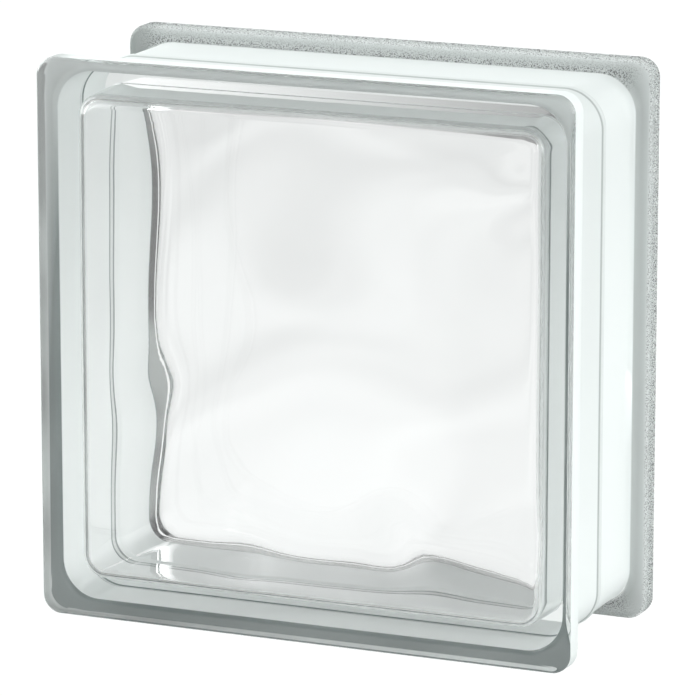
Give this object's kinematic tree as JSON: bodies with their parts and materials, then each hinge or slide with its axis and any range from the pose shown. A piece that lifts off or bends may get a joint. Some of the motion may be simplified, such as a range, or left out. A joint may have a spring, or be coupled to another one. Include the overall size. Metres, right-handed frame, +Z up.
{
  "type": "glass block",
  "caption": "Square hollow glass building block with wavy see-through faces, raised rims and a mortar channel round its edge.",
  "frame": {"origin": "centre of the footprint, on the surface that the block stands on", "axes": "+Z up, +X along the width, +Y from the front face to the rear face"},
  "size_m": [0.19, 0.08, 0.19],
  "materials": {
    "glass": "clear pressed glass, faintly green-grey, polished faces with soft waves inside, gritty coating on the rim edges"
  },
  "bodies": {
    "root": {"glass_block": "glass"}
  },
  "joints": []
}
